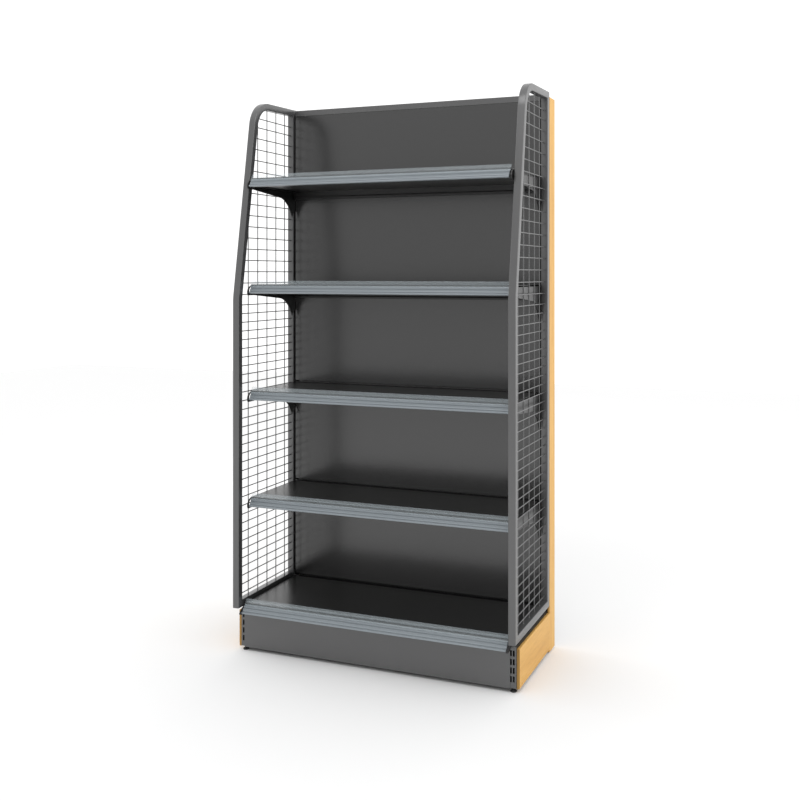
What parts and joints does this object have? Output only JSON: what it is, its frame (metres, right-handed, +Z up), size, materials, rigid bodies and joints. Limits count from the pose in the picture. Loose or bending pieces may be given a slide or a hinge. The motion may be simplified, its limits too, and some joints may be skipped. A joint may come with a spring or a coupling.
{
  "type": "gondola shelving unit",
  "caption": "Single-sided steel shop shelving bay with hook-on shelves, sloping ticket strips, mesh side frames, a kick plate and wood side boards.",
  "frame": {"origin": "centre of the footprint, on the floor", "axes": "+X to the right seen from the front, +Y from the open front to the back panels, +Z up"},
  "size_m": [1.046, 0.505, 2.0037],
  "materials": {
    "frame_paint": "satin graphite powder coat",
    "shelf_paint": "satin black powder coat",
    "panel_paint": "satin dark grey powder coat",
    "strip_plastic": "semi-gloss blue-grey extrusion",
    "clear_plastic": "clear",
    "beech_board": "satin beech laminate",
    "black_plastic": "matt black",
    "zinc_steel": "zinc plated"
  },
  "bodies": {
    "root": {"upright_left": "frame_paint", "base_leg_left": "frame_paint", "side_frame_left": "frame_paint", "side_mesh_left": "frame_paint", "post_board_left": "beech_board", "base_board_left": "beech_board", "foot_nut_front_left": "zinc_steel", "foot_nut_rear_left": "zinc_steel", "upright_right": "frame_paint", "base_leg_right": "frame_paint", "side_frame_right": "frame_paint", "side_mesh_right": "frame_paint", "post_board_right": "beech_board", "base_board_right": "beech_board", "foot_nut_front_right": "zinc_steel", "foot_nut_rear_right": "zinc_steel", "panel_base": "panel_paint", "panel_1": "panel_paint", "panel_2": "panel_paint", "panel_3": "panel_paint", "panel_4": "panel_paint", "panel_5": "panel_paint", "top_cap": "frame_paint", "tie_lower": "frame_paint", "tie_upper": "frame_paint"},
    "base_shelf": {"base_deck": "shelf_paint", "base_strip": "strip_plastic", "base_riser": "clear_plastic", "base_end_cap_left": "black_plastic", "base_end_cap_right": "black_plastic"},
    "shelf_1": {"deck_1": "shelf_paint", "strip_1": "strip_plastic", "riser_1": "clear_plastic", "bracket_1_left": "shelf_paint", "bracket_1_right": "shelf_paint"},
    "shelf_2": {"deck_2": "shelf_paint", "strip_2": "strip_plastic", "riser_2": "clear_plastic", "bracket_2_left": "shelf_paint", "bracket_2_right": "shelf_paint"},
    "shelf_3": {"deck_3": "shelf_paint", "strip_3": "strip_plastic", "riser_3": "clear_plastic", "bracket_3_left": "shelf_paint", "bracket_3_right": "shelf_paint"},
    "shelf_4": {"deck_4": "shelf_paint", "strip_4": "strip_plastic", "riser_4": "clear_plastic", "bracket_4_left": "shelf_paint", "bracket_4_right": "shelf_paint"},
    "kick_plate": {"kick_plate": "frame_paint"},
    "foot_front_left": {"foot_front_left": "black_plastic"},
    "foot_front_right": {"foot_front_right": "black_plastic"},
    "foot_rear_left": {"foot_rear_left": "black_plastic"},
    "foot_rear_right": {"foot_rear_right": "black_plastic"}
  },
  "joints": [
    {"name": "lift_shelf_1", "type": "slide", "parent": "root", "child": "shelf_1", "axis": [0, 0, 1], "range_m": [0, 0.01]},
    {"name": "lift_shelf_2", "type": "slide", "parent": "root", "child": "shelf_2", "axis": [0, 0, 1], "range_m": [0, 0.01]},
    {"name": "lift_shelf_3", "type": "slide", "parent": "root", "child": "shelf_3", "axis": [0, 0, 1], "range_m": [0, 0.01]},
    {"name": "lift_shelf_4", "type": "slide", "parent": "root", "child": "shelf_4", "axis": [0, 0, 1], "range_m": [0, 0.01]},
    {"name": "lift_base_shelf", "type": "slide", "parent": "root", "child": "base_shelf", "axis": [0, 0, 1], "range_m": [0, 0.03]},
    {"name": "pull_kick_plate", "type": "slide", "parent": "root", "child": "kick_plate", "axis": [0, -1, 0], "range_m": [0, 0.03]},
    {"name": "turn_foot_front_left", "type": "hinge", "parent": "root", "child": "foot_front_left", "pos_m": [-0.5, -0.1965, 0], "axis": [0, 0, 1], "continuous": true},
    {"name": "turn_foot_front_right", "type": "hinge", "parent": "root", "child": "foot_front_right", "pos_m": [0.5, -0.1965, 0], "axis": [0, 0, 1], "continuous": true},
    {"name": "turn_foot_rear_left", "type": "hinge", "parent": "root", "child": "foot_rear_left", "pos_m": [-0.5, 0.2165, 0], "axis": [0, 0, 1], "continuous": true},
    {"name": "turn_foot_rear_right", "type": "hinge", "parent": "root", "child": "foot_rear_right", "pos_m": [0.5, 0.2165, 0], "axis": [0, 0, 1], "continuous": true}
  ]
}
